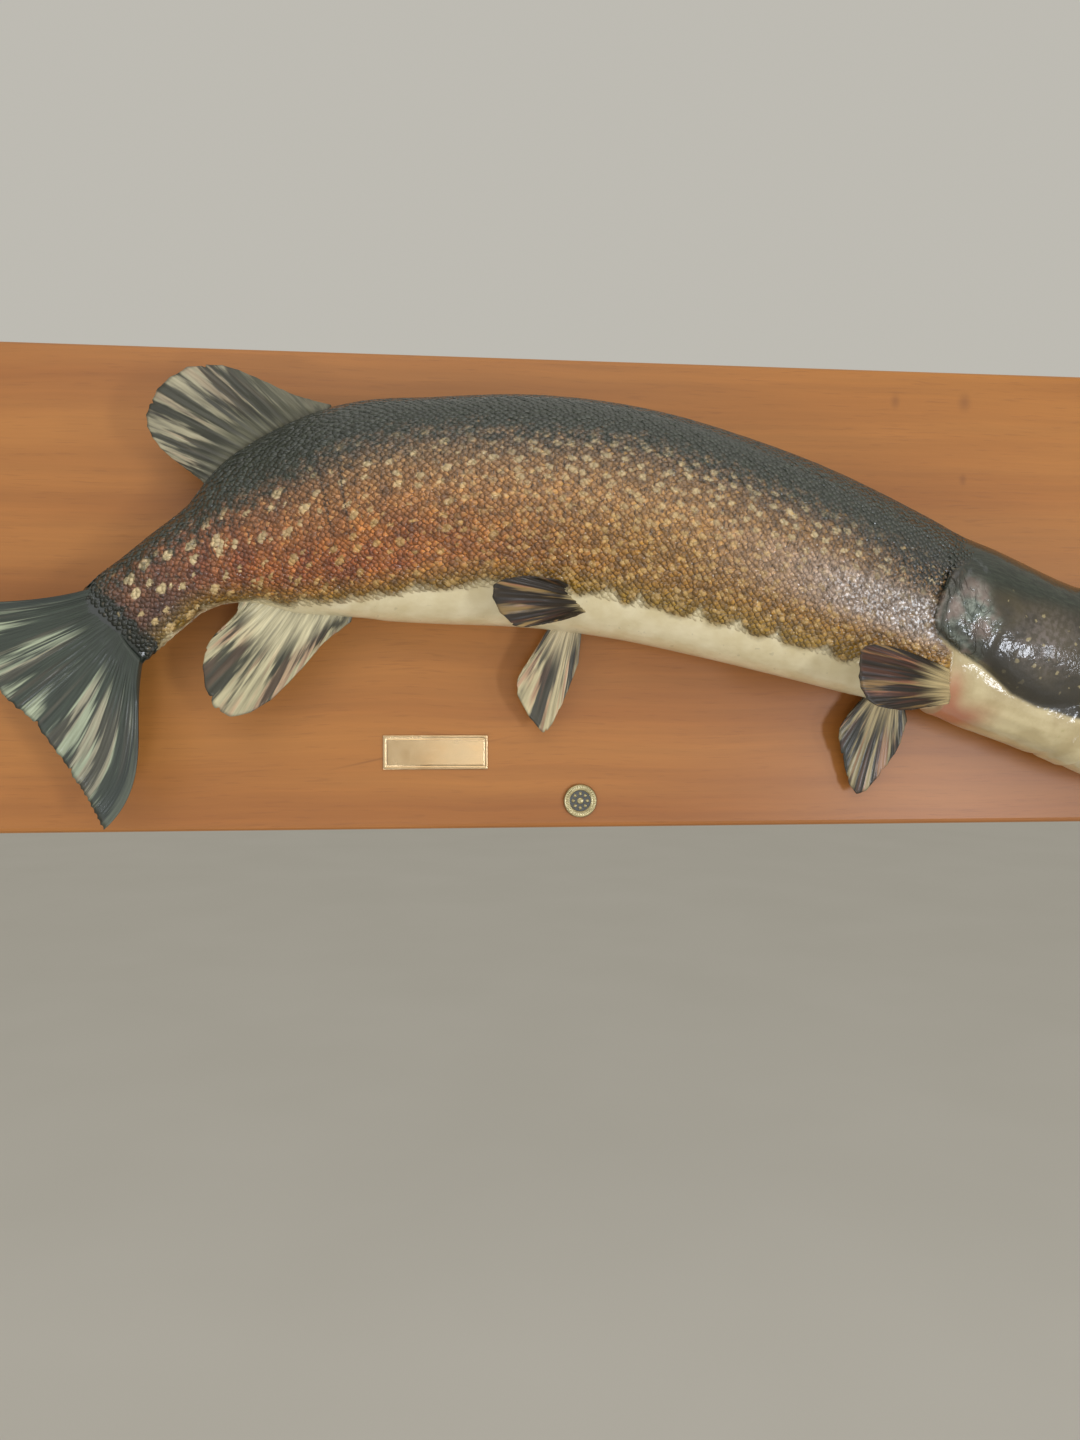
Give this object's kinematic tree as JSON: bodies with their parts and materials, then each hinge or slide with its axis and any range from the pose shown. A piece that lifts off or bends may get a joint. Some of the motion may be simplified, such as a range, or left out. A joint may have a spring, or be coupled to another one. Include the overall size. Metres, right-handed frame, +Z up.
{
  "type": "mounted northern pike on a wall board",
  "caption": "Life-size trophy pike, arched with its mouth open, fixed to a varnished wooden wall board with a blank brass plate and a plain round medallion.",
  "frame": {"origin": "centre of the board's back face, in the plane of the wall", "axes": "+X along the board towards the fish's head, +Y into the wall, +Z up"},
  "size_m": [1.25, 0.1406, 0.37],
  "materials": {
    "board_wood": "satin varnish",
    "plate_brass": "polished",
    "medallion_brass": "aged, with a dark enamel field",
    "skin": "painted and varnished skin",
    "fins": "painted and varnished",
    "mouth": "gloss",
    "eye_glass": "gloss"
  },
  "bodies": {
    "root": {"board": "board_wood", "brass_plate": "plate_brass", "medallion": "medallion_brass", "eye_near": "eye_glass", "eye_far": "eye_glass", "tongue": "mouth", "tail_stem": "skin", "trunk_rear": "skin", "trunk_middle": "skin", "trunk_front": "skin", "gill_cover_near": "skin", "gill_cover_far": "skin", "head": "skin", "throat": "skin", "lower_jaw": "skin", "dorsal_fin": "fins", "anal_fin": "fins", "pelvic_fin_near": "fins", "pelvic_fin_far": "fins", "pectoral_fin_near": "fins", "pectoral_fin_far": "fins", "tail_fin": "fins"}
  },
  "joints": []
}
